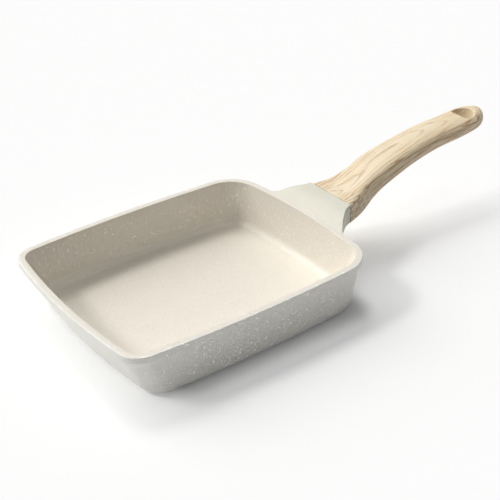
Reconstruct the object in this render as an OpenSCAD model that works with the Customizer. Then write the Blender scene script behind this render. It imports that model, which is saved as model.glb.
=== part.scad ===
// Rectangular rolled-omelette pan with a flared neck and a curved wooden grip.
// +X points along the handle, +Z up. The origin is the middle of the flat underside.

/* [Pan] */
// Length over the rim, from the middle of the front side to the middle of the back side
pan_l = 190; // [176:2:210]
// Width over the rim at its widest
pan_w = 158.4; // [148:0.4:172]
// Height of the rim above the underside
pan_h = 35.8; // [34:0.2:40]
// Thickness of the walls
wall_t = 3.2; // [2.6:0.1:3.8]
// Thickness of the floor
floor_t = 3.5; // [3:0.1:4.5]
// Height of the thicker band round the rim
band_h = 5.2; // [4:0.2:6]
// How far the band stands proud of the wall
band_step = 1.6; // [1:0.1:2]
// How far the front wall slopes inward from the band to the underside
front_slope = 13.6; // [10:0.2:15]
// How far each long wall slopes inward
side_slope = 3.5; // [2.5:0.1:5]
// How far the back wall slopes inward
back_slope = 5.5; // [4:0.1:7]
// Radius of the bow of the front side
front_bow = 481; // [420:1:640]
// Radius of the bow of the back side
back_bow = 419; // [380:1:560]
// Radius of the bow of each long side
side_bow = 1020; // [900:10:1400]
// Radius of the two front corners
front_corner_r = 15.6; // [13:0.2:20]
// Radius of the two back corners
back_corner_r = 26; // [22:0.5:30]
// Radius of the outer edge round the underside
base_r = 5; // [4:0.2:6]
// Radius where the walls run into the floor
floor_r = 5; // [4:0.2:7]
// Radius of the rim's two edges
rim_r = 0.4; // [0.3:0.1:1]

/* [Induction plate] */
// Length of the perforated plate
plate_l = 132; // [120:1:138]
// Width of the perforated plate
plate_w = 112; // [100:1:120]
// Thickness of the perforated plate
plate_t = 0.8; // [0.6:0.1:1.2]
// Radius of the plate's corners
plate_corner_r = 18; // [10:1:24]
// Diameter of each hole in the plate
plate_hole_d = 6; // [4:0.5:7]
// Distance between neighbouring holes
plate_pitch = 13; // [11:1:18]
// Clearance round the plate in its recess
plate_gap = 0.1; // [0.05:0.05:0.2]

/* [Neck] */
// Length of the neck beyond the back of the rim
neck_len = 20; // [19:0.5:24]
// Width of the neck where it meets the rim
neck_root_w = 78.4; // [70:0.4:84]
// Drop from the top of the rim to the top of the neck there
neck_root_drop = 0.5; // [0.3:0.1:1]
// Height of the middle of the neck where it meets the rim
neck_root_h = 10.8; // [10.4:0.2:12]
// Thickness of the neck's cover
cover_t = 1.2; // [1:0.1:1.6]
// Parting gap between the cover and the base of the neck
part_gap = 0.5; // [0.3:0.1:0.7]
// Thickness of the neck base's shell
shell_t = 1.8; // [1.5:0.1:2]
// Thickness of the neck base's end wall, next to the grip
end_wall_t = 2.4; // [2:0.1:3]
// Clearance between the neck and the pan
pan_gap = 0.2; // [0.15:0.05:0.3]

/* [Grip] */
// Length of the grip from the neck to its tip, measured level
grip_len = 142.9; // [134:0.1:156]
// Rise of the grip's middle line from the neck to the tip
grip_rise = 28.5; // [26:0.1:34]
// Drop from the top of the rim to the middle of the grip at the neck
seam_drop = 1.8; // [1.4:0.1:2.2]
// Width of the grip at the neck
seam_w = 43; // [41:0.2:45]
// Height of the grip at the neck
seam_h = 16.1; // [15.8:0.1:17]
// Width of the grip where the hand closes on it
grip_w = 29.4; // [27.4:0.2:34]
// Height of the grip where the hand closes on it
grip_h = 13.6; // [13.2:0.2:16]
// Width of the grip beside the hanging eye
end_w = 28.8; // [26:0.2:34]
// Height of the grip towards its end
end_h = 12; // [10:0.2:13]
// Length over which the grip's end rounds off
end_round = 18.2; // [15:0.2:22]
// Gap between the neck and the grip
seam_gap = 0.4; // [0.3:0.1:0.6]
// Width of the hanging eye, across the grip
eye_w = 17.2; // [14:0.2:18]
// Length of the hanging eye, along the grip
eye_l = 11.8; // [9:0.2:13]
// Distance from the tip to the near end of the hanging eye
eye_edge = 9.8; // [8.6:0.2:11]

/* [Handle bracket] */
// Width of the cast lug on the pan's back wall
lug_w = 26; // [25:0.5:27]
// Thickness of the cast lug
lug_t = 4.4; // [4:0.1:4.5]
// How far the lug reaches behind the rim
lug_reach = 15; // [14.5:0.25:15.5]
// Thickness of the bracket's steel strip
strip_t = 2.5; // [2:0.1:2.6]
// Width of the bracket on the lug
pad_w = 24; // [23.5:0.5:25]
// Gap between the rim and the start of the bracket
pad_gap = 1.5; // [1:0.25:2]
// Width of the bracket's tongue
tongue_w = 16; // [12:0.5:17]
// Distance from the neck's end to the bend in the tongue
bend_gap = 3; // [2:0.25:4]
// Length of the tongue beyond the bend
tongue_len = 29; // [27.5:0.5:32]
// Slope of the tongue beyond the bend
tongue_angle = 20; // [19:0.5:21]
// Clearance round the tongue and its nuts in the grip
tongue_gap = 0.25; // [0.2:0.05:0.4]

/* [Fasteners] */
// Shank diameter of the bracket and grip screws
screw_d = 4; // [3:0.5:4]
// Head diameter of the bracket and grip screws
head_d = 7.6; // [7:0.2:8]
// Head height of the bracket and grip screws
head_h = 2.2; // [1.8:0.1:2.2]
// Distance between the two bracket screws
bracket_screw_gap = 14; // [13:0.5:15]
// Outer diameter of the washers
washer_d = 8.4; // [8:0.2:9]
// Thickness of the washers
washer_t = 0.8; // [0.6:0.1:0.8]
// Width across the flats of a weld nut
nut_af = 7; // [7:0.1:8]
// Height of a weld nut
nut_h = 3.2; // [2.6:0.1:3.6]
// Distance from the bend to the first grip screw, along the tongue
grip_screw_x = 7; // [6.5:0.25:8]
// Distance between the two grip screws
grip_screw_gap = 15; // [13:0.5:15.5]
// Depth of wood clamped under the tongue
clamp_t = 4.4; // [4:0.1:5]
// Shank diameter of the two screws that hold the cover
cover_screw_d = 3; // [2.5:0.5:3]
// Head diameter of the cover screws
cover_head_d = 5.6; // [5:0.2:6]
// Head height of the cover screws
cover_head_h = 1.6; // [1.4:0.1:1.8]
// Distance between the two cover screws
cover_screw_gap = 36; // [35.5:0.25:37]
// Clearance round a screw's shank in its hole
shank_gap = 0.1; // [0.05:0.05:0.2]
// Clearance round a screw's head in its recess
head_gap = 0.6; // [0.4:0.1:0.8]

/* [Hidden] */

$fn = 48;
cream = [0.93, 0.9, 0.85];
neck_cream = [0.92, 0.91, 0.86];
ash = [0.9, 0.82, 0.68];
steel = [0.72, 0.73, 0.74];

// Sharpest corner that an inset outline may have
least_r = 1.5;
// Segments in half an end side, half a corner pair and a whole long side of the outline
end_segments = 4;
corner_segments = 8;
side_segments = 8;
// Height at which the wall meets the band, and the small slope under the band
band_z = pan_h - band_h;
band_chamfer = 0.8;
// Inset of the inner wall from the rim
lip = band_step + wall_t;

// Heights and lengths that the handle's pieces share
seam_x = pan_l / 2 + neck_len;
seam_z = pan_h - seam_drop;
seam_top = seam_z + seam_h / 2;
seam_bottom = seam_z - seam_h / 2;
lug_clear = 0.3;
lug_z = seam_bottom + shell_t + lug_clear;
lug_end = pan_l / 2 + lug_reach;
strip_z = lug_z + lug_t;
bend_x = seam_x + bend_gap;
// Room between a bracket washer and the lug's end, and between a cover screw's head and the end wall
washer_edge = 0.8;
head_edge = 2.4;
bracket_screw_x = lug_end - washer_d / 2 - washer_edge;
cover_screw_x = seam_x - end_wall_t - cover_head_d / 2 - head_edge;
// Radius of the cover's bosses, and of the recessed pads that they stand on, each with its own wall
boss_wall = 1.5;
seat_wall = 1.2;
boss_r = cover_screw_d / 2 + boss_wall;
seat_r = (cover_head_d + head_gap) / 2 + seat_wall;
// Height of the pads over the neck's underside, and of the seat where the cover's bosses stand
seat_h = 5;
seat_z = seam_bottom + seat_h;
// Thickness of a pad between its seat and the counterbore for the screw's head
seat_floor_t = 1.2;
// How far a cover screw reaches up into its boss
cover_screw_reach = 6;
// Length of the cutters that open the screw bores through the grip's underside
bore_reach = 20;

// Middle line of the grip: share of the length, share of the rise
grip_path = [
    [0, 0], [0.08, 0.046], [0.17, 0.223], [0.28, 0.46], [0.44, 0.683], [0.62, 0.84], [0.8, 0.899], [1, 1]
];
// Half width of the grip at each share of its length
grip_half_w = [
    [0, seam_w / 2], [0.09, mix(seam_w, grip_w, 0.51) / 2], [0.19, grip_w / 2],
    [0.31, grip_w / 2 + 0.3], [0.54, grip_w / 2 - 0.7], [0.8, end_w / 2], [1, end_w / 2 - 1.35]
];
// Half height of the grip at each share of its length
grip_half_h = [[0, seam_h / 2], [0.12, seam_h / 2 + 0.35], [0.45, grip_h / 2], [0.85, end_h / 2], [1, end_h / 2]];
// How square the grip's section is, above and below its middle
grip_top_n = [[0, 9], [0.12, 5.4], [0.3, 4], [0.6, 3], [1, 2.2]];
grip_bottom_n = [[0, 8], [0.12, 4.9], [0.3, 3.5], [0.6, 3.2], [1, 2.6]];
// How pointed the grip's end is in plan, and how blunt it is from the side
end_plan_n = 2;
end_side_n = 4.5;
grip_rings = 30;
end_rings = 10;
ring_points = 32;

// The neck widens towards the pan and rises towards the grip. Each station gives the share of
// the neck's length behind the rim, and how far the size has gone from the root to the seam.
neck_flare = [
    [-0.3, -0.316], [-0.075, 0], [0.1, 0.25], [0.275, 0.46], [0.55, 0.72], [0.75, 0.89], [1, 1]
];
neck_lift = [[-0.3, 0], [-0.075, 0], [0.1, 0.16], [0.275, 0.51], [0.55, 0.82], [1, 1]];
neck_root_z = pan_h - neck_root_drop;
neck_half_w = [for (s = neck_flare) [s[0] * neck_len, mix(neck_root_w, seam_w, s[1]) / 2]];
neck_top = [for (s = neck_lift) [s[0] * neck_len, mix(neck_root_z, seam_top, s[1])]];
neck_bottom = [[-0.3 * neck_len, neck_root_z - neck_root_h], [neck_len, seam_bottom]];
// How square the neck's section is: its wings are thin at the pan, its sides upright at the grip
neck_side_n = [[-0.3, 2.2], [0, 2.8], [0.25, 5.5], [0.45, 9], [1, 10]];
neck_rings = 14;
neck_points = 28;
cover_edge_r = 0.8;

function mix(a, b, t) = a + (b - a) * t;
function smooth(t) = let(c = max(0, min(1, t))) c * c * (3 - 2 * c);

// Slope of a smooth curve through stations [u, value] at station k
function slope(s, k) =
    let(a = max(k - 1, 0), b = min(k + 1, len(s) - 1))
    (s[b][1] - s[a][1]) / (s[b][0] - s[a][0]);

// Value at u of the smooth curve through the stations
function at(s, u) =
    let(
        i = max([for (k = [0 : len(s) - 2]) if (k == 0 || s[k][0] <= u) k]),
        h = s[i + 1][0] - s[i][0],
        t = (u - s[i][0]) / h
    )
    (2 * t ^ 3 - 3 * t ^ 2 + 1) * s[i][1] + (t ^ 3 - 2 * t ^ 2 + t) * h * slope(s, i)
    + (3 * t ^ 2 - 2 * t ^ 3) * s[i + 1][1] + (t ^ 3 - t ^ 2) * h * slope(s, i + 1);

// Centre of a circle that lies r1 from c1 and r2 from c2, on the given side
function meet(c1, r1, c2, r2, side) =
    let(
        d = c2 - c1,
        l = norm(d),
        u = d / l,
        a = (r1 ^ 2 - r2 ^ 2 + l ^ 2) / (2 * l),
        h = sqrt(max(r1 ^ 2 - a ^ 2, 0))
    )
    c1 + a * u + side * h * [-u[1], u[0]];

function angle_of(v) = let(a = atan2(v[1], v[0])) a < 0 ? a + 360 : a;

// Points on an arc, without its last point
function arc(c, r, a0, a1, n) = [for (i = [0 : n - 1]) let(a = mix(a0, a1, i / n)) c + r * [cos(a), sin(a)]];

// Half of the pan's outline, from the middle of the back round the +Y side to the front.
// inset moves every side inward; the three slopes move the sides by themselves.
function half_outline(inset, front, back, side) =
    let(
        rf = max(front_corner_r - inset, least_r),
        rb = max(back_corner_r - inset, least_r),
        front_r = front_bow - inset,
        back_r = back_bow - inset,
        side_r = side_bow - inset,
        cf = [-pan_l / 2 + front + front_bow, 0],
        cb = [pan_l / 2 - back - back_bow, 0],
        cs = [0, pan_w / 2 - side - side_bow],
        kb = meet(cb, back_r - rb, cs, side_r - rb, 1),
        kf = meet(cf, front_r - rf, cs, side_r - rf, -1),
        a1 = angle_of(kb - cb),
        a2 = angle_of(kb - cs),
        a3 = angle_of(kf - cs),
        a4 = angle_of(kf - cf)
    )
    concat(
        arc(cb, back_r, 0, a1, end_segments),
        arc(kb, rb, a1, a2, corner_segments),
        arc(cs, side_r, a2, a3, side_segments),
        arc(kf, rf, a3, a4, corner_segments),
        arc(cf, front_r, a4, 180, end_segments),
        [[-pan_l / 2 + front + inset, 0]]
    );

// The whole outline at height z; share says how much of the walls' slope applies
function outline(inset, share, z) =
    let(half = half_outline(inset, front_slope * share, back_slope * share, side_slope * share))
    concat(
        [for (p = half) [p[0], p[1], z]],
        [for (i = [len(half) - 2 : -1 : 1]) [half[i][0], -half[i][1], z]]
    );

// Share of the slope that is left at height z
function share_at(z) = 1 - z / band_z;

// Outline of a wall that is rounded into a level face at height z0
function rounded_foot(inset, r, z0, steps) = [
    for (i = [0 : steps])
        let(a = 90 * i / steps, z = z0 + r * (1 - cos(a)))
        outline(inset + r * (1 - sin(a)), share_at(z), z)
];

// Closed solid through rings of equal length, the first and last ring capped
module skin(rings) {
    n = len(rings[0]);
    m = len(rings);
    polyhedron(
        points = [for (ring = rings) each ring],
        faces = concat(
            [[for (i = [0 : n - 1]) i]],
            [for (j = [0 : m - 2]) for (i = [0 : n - 1]) [j * n + i, (j + 1) * n + i, j * n + (i + 1) % n]],
            [
                for (j = [0 : m - 2]) for (i = [0 : n - 1])
                    [j * n + (i + 1) % n, (j + 1) * n + i, (j + 1) * n + (i + 1) % n]
            ],
            [[for (i = [n - 1 : -1 : 0]) (m - 1) * n + i]]
        ),
        convexity = 6
    );
}

module rounded_rect(l, w, r) {
    square([l - 2 * r, w], center = true);
    square([l, w - 2 * r], center = true);
    for (x = [-1, 1]) for (y = [-1, 1]) translate([x * (l / 2 - r), y * (w / 2 - r)]) circle(r);
}

// The pan's outer faces grown by a gap, for cutting what fits against them
module pan_outside(gap) {
    skin([
        outline(band_step - gap, 1, 0),
        outline(band_step - gap, 0, band_z - gap - band_chamfer),
        outline(-gap, 0, band_z - gap),
        outline(-gap, 0, pan_h + 12)
    ]);
}

// Middle of the flat underside, where the plate sits
function base_middle() =
    let(inset = band_step + base_r)
    [(-(pan_l / 2 - inset - front_slope) + (pan_l / 2 - inset - back_slope)) / 2, 0];

module pan_shell() {
    skin(concat(
        rounded_foot(band_step, base_r, 0, 5),
        [
            outline(band_step, 0, band_z),
            outline(0, 0, band_z + band_chamfer),
            outline(0, 0, pan_h - rim_r),
            outline(rim_r * 0.3, 0, pan_h - rim_r * 0.3),
            outline(rim_r, 0, pan_h),
            outline(lip - rim_r, 0, pan_h),
            outline(lip - rim_r * 0.3, 0, pan_h - rim_r * 0.3),
            outline(lip, 0, pan_h - rim_r)
        ],
        [for (i = [5 : -1 : 0]) rounded_foot(lip, floor_r, floor_t, 5)[i]]
    ));
}

// The lug starts inside the back wall
lug_x = pan_l / 2 - band_step - wall_t / 2 - back_slope * share_at(lug_z);

module pan_body() {
    color(cream) difference() {
        union() {
            pan_shell();
            translate([lug_x, -lug_w / 2, lug_z]) cube([lug_end - lug_x, lug_w, lug_t]);
        }
        translate([base_middle()[0], 0, -1])
            linear_extrude(plate_t + 1)
                rounded_rect(plate_l + 2 * plate_gap, plate_w + 2 * plate_gap, plate_corner_r + plate_gap);
        bracket_screw_places() translate([0, 0, lug_z - 1])
            cylinder(d = screw_d + 2 * shank_gap, h = lug_t + 2);
    }
}

// Staggered rows of holes that keep clear of the plate's edge
module induction_plate() {
    row = plate_pitch * sin(60);
    rows = floor((plate_w / 2 - plate_hole_d) / row);
    color(steel) translate([base_middle()[0], 0, 0]) linear_extrude(plate_t) difference() {
        rounded_rect(plate_l, plate_w, plate_corner_r);
        for (j = [-rows : rows]) {
            shift = j % 2 == 0 ? plate_pitch / 2 : 0;
            for (i = [-20 : 20]) {
                x = i * plate_pitch + shift;
                corner = norm([
                    max(abs(x) - plate_l / 2 + plate_corner_r, 0), max(abs(j * row) - plate_w / 2 + plate_corner_r, 0)
                ]);
                if (abs(x) < plate_l / 2 - plate_hole_d && corner < plate_corner_r - plate_hole_d)
                    translate([x, j * row]) circle(d = plate_hole_d, $fn = 24);
            }
        }
    }
}

module bracket_screw_places() {
    for (y = [-1, 1]) translate([bracket_screw_x, y * bracket_screw_gap / 2, 0]) children();
}

// Places on the tongue, with X along it and Z square to it
module tongue_frame() {
    translate([bend_x, 0, strip_z]) rotate([0, -tongue_angle, 0]) children();
}

module grip_screw_places() {
    tongue_frame() for (i = [0, 1]) translate([grip_screw_x + i * grip_screw_gap, 0, 0]) children();
}

module cover_screw_places() {
    for (y = [-1, 1]) translate([cover_screw_x, y * cover_screw_gap / 2, 0]) children();
}

// Side view of the bracket's strip from x0 to the tongue's end, t thick and grown by a gap all round
module strip_side(x0, t, gap) {
    bend = (t + gap) * tan(tongue_angle / 2);
    along = [cos(tongue_angle), sin(tongue_angle)];
    up = [-sin(tongue_angle), cos(tongue_angle)];
    tip = [bend_x, strip_z] + (tongue_len + gap) * along;
    polygon([
        [x0, strip_z - gap],
        [bend_x + gap * tan(tongue_angle / 2), strip_z - gap],
        tip - gap * up,
        tip + (t + gap) * up,
        [bend_x - bend, strip_z + t + gap],
        [x0, strip_z + t + gap]
    ]);
}

module strip(x0, t, w, gap) {
    translate([0, w / 2 + gap, 0]) rotate([90, 0, 0]) linear_extrude(w + 2 * gap) strip_side(x0, t, gap);
}

// Level pad on the lug, with a tongue that runs through the neck and bends up into the grip
module handle_bracket() {
    pad_x = pan_l / 2 + pad_gap;
    color(steel) difference() {
        union() {
            translate([pad_x, -pad_w / 2, strip_z]) cube([lug_end - pad_x, pad_w, strip_t]);
            strip(pad_x, strip_t, tongue_w, 0);
        }
        bracket_screw_places() translate([0, 0, strip_z - 1])
            cylinder(d = screw_d + 2 * shank_gap, h = strip_t + 2);
        grip_screw_places() translate([0, 0, -1])
            cylinder(d = screw_d + 2 * shank_gap, h = strip_t + 2);
    }
}

// A screw with its shank down from z = 0 and a domed head on top, with a cross recess
module screw(d, length, hd, hh) {
    dome = hh * 0.45;
    difference() {
        union() {
            translate([0, 0, -length]) cylinder(d = d, h = length);
            cylinder(d = hd, h = hh - dome);
            translate([0, 0, hh - dome]) rotate_extrude() intersection() {
                scale_r = (hd ^ 2 / 4 + dome ^ 2) / (2 * dome);
                translate([0, dome - scale_r]) circle(scale_r, $fn = 96);
                square([hd / 2, dome]);
            }
        }
        for (a = [0, 90]) rotate([0, 0, a])
            translate([-hd * 0.28, -hd * 0.06, hh * 0.45]) cube([hd * 0.56, hd * 0.12, hh]);
    }
}

module bracket_screws() {
    color(steel) bracket_screw_places() translate([0, 0, strip_z + strip_t + washer_t])
        screw(screw_d, washer_t + strip_t + lug_t - 0.4, head_d, head_h);
}

// Split spring washers
module lock_washers() {
    color(steel) bracket_screw_places() translate([0, 0, strip_z + strip_t]) difference() {
        cylinder(d = washer_d, h = washer_t);
        translate([0, 0, -1]) cylinder(d = screw_d + 2 * shank_gap, h = washer_t + 2);
        translate([0, -0.4, -1]) cube([washer_d, 0.8, washer_t + 2]);
    }
}

// Weld nuts on the upper face of the tongue
module tongue_nuts() {
    color(steel) grip_screw_places() translate([0, 0, strip_t]) difference() {
        cylinder(d = nut_af / cos(30), h = nut_h, $fn = 6);
        translate([0, 0, -1]) cylinder(d = screw_d + 2 * shank_gap, h = nut_h + 2);
    }
}

module grip_screws() {
    color(steel) grip_screw_places() translate([0, 0, -clamp_t - washer_t]) mirror([0, 0, 1])
        screw(screw_d, washer_t + clamp_t + strip_t + nut_h - 0.2, head_d, head_h);
}

module grip_washers() {
    color(steel) grip_screw_places() translate([0, 0, -clamp_t - washer_t]) difference() {
        cylinder(d = washer_d, h = washer_t);
        translate([0, 0, -1]) cylinder(d = screw_d + 2 * shank_gap, h = washer_t + 2);
    }
}

// One ring of the neck base: flat on top, sides and underside on a superellipse
function base_ring(x, shrink, top_z, bottom_lift) =
    let(
        w = at(neck_half_w, x) - shrink,
        zb = at(neck_bottom, x) + bottom_lift,
        n = at(neck_side_n, x / neck_len)
    )
    [
        for (i = [0 : neck_points])
            let(a = 180 * i / neck_points, c = -cos(a), s = sin(a))
            [
                pan_l / 2 + x,
                w * sign(c) * abs(c) ^ (2 / n),
                top_z - (top_z - zb) * abs(s) ^ (2 / n)
            ]
    ];

// Height of the parting line between the cover and the neck base
function parting(x) = at(neck_top, x) - cover_t - part_gap;

module neck_base_outer() {
    skin([
        for (i = [0 : neck_rings])
            let(x = mix(-0.3, 1, i / neck_rings) * neck_len)
            base_ring(x, 0, parting(x), 0)
    ]);
}

module neck_base_hollow() {
    end = neck_len - end_wall_t;
    skin([
        for (i = [0 : neck_rings])
            let(x = mix(-0.4 * neck_len, end, i / neck_rings))
            base_ring(x, shell_t, parting(x) + 0.5, shell_t)
    ]);
}

module neck_base() {
    color(neck_cream) difference() {
        union() {
            difference() {
                neck_base_outer();
                neck_base_hollow();
            }
            cover_screw_places() translate([0, 0, seam_bottom + shell_t * 0.7])
                cylinder(r = seat_r, h = seat_z - seam_bottom - shell_t * 0.7);
        }
        pan_outside(pan_gap);
        translate([seam_x - end_wall_t - 1, -tongue_w / 2 - tongue_gap, strip_z - tongue_gap])
            cube([end_wall_t + 2, tongue_w + 2 * tongue_gap, seam_h]);
        cover_screw_places() {
            translate([0, 0, seam_bottom]) cylinder(d = cover_screw_d + 2 * shank_gap, h = seam_h / 2);
            translate([0, 0, seam_bottom - 2])
                cylinder(d = cover_head_d + head_gap, h = seat_z - seat_floor_t - seam_bottom + 2);
        }
    }
}

// One ring of the cover: a slab with rounded upper edges
function cover_ring(x) =
    let(w = at(neck_half_w, x), zt = at(neck_top, x), r = cover_edge_r)
    concat(
        [[pan_l / 2 + x, -w, zt - cover_t]],
        [[pan_l / 2 + x, w, zt - cover_t]],
        [for (i = [0 : 3]) let(a = 30 * i) [pan_l / 2 + x, w - r * (1 - cos(a)), zt - r * (1 - sin(a))]],
        [for (i = [3 : -1 : 0]) let(a = 30 * i) [pan_l / 2 + x, -w + r * (1 - cos(a)), zt - r * (1 - sin(a))]]
    );

module neck_cover() {
    boss_top = at(neck_top, cover_screw_x - pan_l / 2) - cover_t / 2;
    color(neck_cream) difference() {
        union() {
            skin([for (i = [0 : neck_rings]) cover_ring(mix(-0.3, 1, i / neck_rings) * neck_len)]);
            cover_screw_places() translate([0, 0, seat_z]) cylinder(r = boss_r, h = boss_top - seat_z);
        }
        pan_outside(pan_gap);
        cover_screw_places() translate([0, 0, seat_z - 1])
            cylinder(d = cover_screw_d + 2 * shank_gap, h = boss_top - seat_z);
    }
}

module cover_screws() {
    color(steel) cover_screw_places() translate([0, 0, seat_z - seat_floor_t]) mirror([0, 0, 1])
        screw(cover_screw_d, seat_floor_t + cover_screw_reach, cover_head_d, cover_head_h);
}

// Slope of the grip's middle line at share f of its length
function grip_slope(f) =
    let(a = max(f - 0.005, 0), b = min(f + 0.005, 1))
    (at(grip_path, b) - at(grip_path, a)) / (b - a) * grip_rise / grip_len;

// One ring of the grip at share f; it stands square to the middle line away from the neck
function grip_ring(f) =
    let(
        k = max(0, (f - 1) * grip_len / end_round + 1),
        w = at(grip_half_w, f) * (1 - k ^ end_plan_n) ^ (1 / end_plan_n),
        h = at(grip_half_h, f) * (1 - k ^ end_side_n) ^ (1 / end_side_n),
        lean = smooth(f / 0.1) * grip_slope(f),
        up = [-lean, 1] / norm([lean, 1]),
        c = [seam_x + grip_len * f, seam_z + grip_rise * at(grip_path, f)]
    )
    [
        for (i = [0 : ring_points - 1])
            let(
                a = 360 * i / ring_points,
                n = sin(a) >= 0 ? at(grip_top_n, f) : at(grip_bottom_n, f),
                v = h * sign(sin(a)) * abs(sin(a)) ^ (2 / n)
            )
            [c[0] + up[0] * v, w * sign(cos(a)) * abs(cos(a)) ^ (2 / n), c[1] + up[1] * v]
    ];

// Shares of the length at which the grip's rings stand, closer together round its end
function grip_stations() =
    let(first = seam_gap / grip_len, body = 1 - end_round / grip_len)
    concat(
        [for (i = [0 : grip_rings - 1]) mix(first, body, i / grip_rings)],
        [for (i = [0 : end_rings]) mix(body, 1, sin(82 * i / end_rings))]
    );

// Hanging eye seen from above: nearly straight towards the neck, round towards the tip
module eye_shape() {
    bulge = eye_l * 0.67;
    translate([seam_x + grip_len - eye_edge - bulge, 0]) polygon([
        for (i = [0 : 31])
            let(a = 360 * i / 32, l = cos(a) > 0 ? bulge : eye_l - bulge, n = cos(a) > 0 ? 2.2 : 3)
            [l * sign(cos(a)) * abs(cos(a)) ^ (2 / n), eye_w / 2 * sign(sin(a)) * abs(sin(a)) ^ (2 / n)]
    ]);
}

module handle_grip() {
    color(ash) difference() {
        skin([for (f = grip_stations()) grip_ring(f)]);
        strip(seam_x - 1, strip_t + nut_h, tongue_w, tongue_gap);
        grip_screw_places() {
            translate([0, 0, -bore_reach]) cylinder(d = screw_d + 2 * shank_gap, h = bore_reach + 1);
            translate([0, 0, -clamp_t - bore_reach]) cylinder(d = washer_d + head_gap, h = bore_reach);
        }
        translate([0, 0, seam_z]) linear_extrude(grip_rise + end_h * 2) eye_shape();
    }
}

pan_body();
induction_plate();
handle_bracket();
bracket_screws();
lock_washers();
tongue_nuts();
neck_base();
neck_cover();
cover_screws();
handle_grip();
grip_screws();
grip_washers();
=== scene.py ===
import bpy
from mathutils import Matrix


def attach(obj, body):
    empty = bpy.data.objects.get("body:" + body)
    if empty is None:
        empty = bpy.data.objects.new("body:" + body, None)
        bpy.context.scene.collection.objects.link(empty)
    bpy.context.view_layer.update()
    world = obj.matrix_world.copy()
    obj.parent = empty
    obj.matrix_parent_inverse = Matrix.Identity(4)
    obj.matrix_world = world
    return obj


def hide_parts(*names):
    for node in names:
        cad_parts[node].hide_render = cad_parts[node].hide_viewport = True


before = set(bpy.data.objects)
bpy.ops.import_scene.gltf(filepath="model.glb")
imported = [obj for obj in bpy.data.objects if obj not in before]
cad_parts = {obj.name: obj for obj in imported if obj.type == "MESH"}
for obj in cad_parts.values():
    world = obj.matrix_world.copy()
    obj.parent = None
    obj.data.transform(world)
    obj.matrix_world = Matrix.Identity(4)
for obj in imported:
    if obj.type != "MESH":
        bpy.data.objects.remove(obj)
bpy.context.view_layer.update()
print("construction frame loaded")

import math

import bmesh
import bpy
import numpy as np
from mathutils import Matrix, Vector


def blend(a, b, t):
    # a + (b - a) * t, the straight mix of a and b
    return a + (b - a) * t


def eased(t):
    # 3t^2 - 2t^3 between 0 and 1
    t = np.clip(t, 0.0, 1.0)
    return t * t * (3 - 2 * t)


def curveAt(stations, u):
    # smooth curve through (place, value) stations: between two of them the cubic in t that meets both
    # values, with slopes there of (next value - value before) / (next place - place before)
    s = np.array(stations, float)
    last = len(s) - 1
    k = np.clip(np.searchsorted(s[:, 0], u, side="right") - 1, 0, last - 1)
    before = np.maximum(np.arange(last + 1) - 1, 0)
    after = np.minimum(np.arange(last + 1) + 1, last)
    slopes = (s[after, 1] - s[before, 1]) / (s[after, 0] - s[before, 0])
    gap = s[k + 1, 0] - s[k, 0]
    t = (u - s[k, 0]) / gap
    start = (2 * t**3 - 3 * t**2 + 1) * s[k, 1] + (t**3 - 2 * t**2 + t) * gap * slopes[k]
    return start + (3 * t**2 - 2 * t**3) * s[k + 1, 1] + (t**3 - t**2) * gap * slopes[k + 1]


def signedPower(v, p):
    # sign(v) * |v|^p
    return np.sign(v) * np.abs(v) ** p


def gridFaces(rows, cols, wrap=False):
    # corner numbers i * cols + j of the quads between neighbouring rows; wrap joins the last column to the first
    i, j = np.meshgrid(np.arange(rows - 1), np.arange(cols if wrap else cols - 1), indexing="ij")
    k = (j + 1) % cols
    quads = np.stack([i * cols + j, i * cols + k, (i + 1) * cols + k, (i + 1) * cols + j], -1)
    return quads.reshape(-1, 4).tolist()


def points(x, y, *z):
    # points from arrays or numbers for each of their coordinates
    return np.stack(np.broadcast_arrays(x, y, *z), -1)


def roundTurn(count):
    # angles evenly round a full turn
    return np.linspace(0, 2 * np.pi, count, endpoint=False)


def tube(grid):
    # closed skin over rings of points with a cap at each end: rows are rings, columns run round them
    rows, cols = grid.shape[:2]
    caps = [list(range(cols))[::-1], [(rows - 1) * cols + j for j in range(cols)]]
    return grid.reshape(-1, 3), gridFaces(rows, cols, True) + caps


def torus(grid):
    # skin over rings whose last ring runs on into the first
    rows, cols = grid.shape[:2]
    return grid.reshape(-1, 3), gridFaces(rows + 1, cols, True)


def addObject(name, data):
    # an object with this data in the scene
    obj = bpy.data.objects.new(name, data)
    bpy.context.scene.collection.objects.link(obj)
    return obj


def makePiece(name, parts, weld=0.00002):
    # points in millimetres become one mesh in metres, welded, with every face turned outwards
    places, faces, count = [], [], 0
    for verts, quads in parts:
        total = len(verts)
        places.append(verts)
        faces += [[v % total + count for v in face] for face in quads]
        count += total
    mesh = bpy.data.meshes.new(name)
    mesh.from_pydata((np.concatenate(places) / 1000.0).tolist(), [], faces)
    shape = bmesh.new()
    shape.from_mesh(mesh)
    bmesh.ops.remove_doubles(shape, verts=shape.verts, dist=weld)
    bmesh.ops.dissolve_degenerate(shape, edges=shape.edges, dist=1e-7)
    bmesh.ops.recalc_face_normals(shape, faces=shape.faces)
    shape.to_mesh(mesh)
    shape.free()
    mesh.update()
    return addObject(name, mesh)


def combine(obj, grid, operation):
    # the solid inside rings of points is added to the piece or cut from it
    tool = makePiece("tool", [tube(grid)])
    step = obj.modifiers.new("cut", "BOOLEAN")
    step.operation = operation
    step.solver = "EXACT"
    step.object = tool
    graph = bpy.context.evaluated_depsgraph_get()
    result = bpy.data.meshes.new_from_object(obj.evaluated_get(graph))
    obj.modifiers.clear()
    obj.data = result
    bpy.data.objects.remove(tool)


def shadeSmooth(obj):
    # smooth faces with edges kept where they turn by more than 35 degrees
    obj.data.shade_smooth()
    obj.data.set_sharp_from_angle(angle=math.radians(35))


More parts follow.
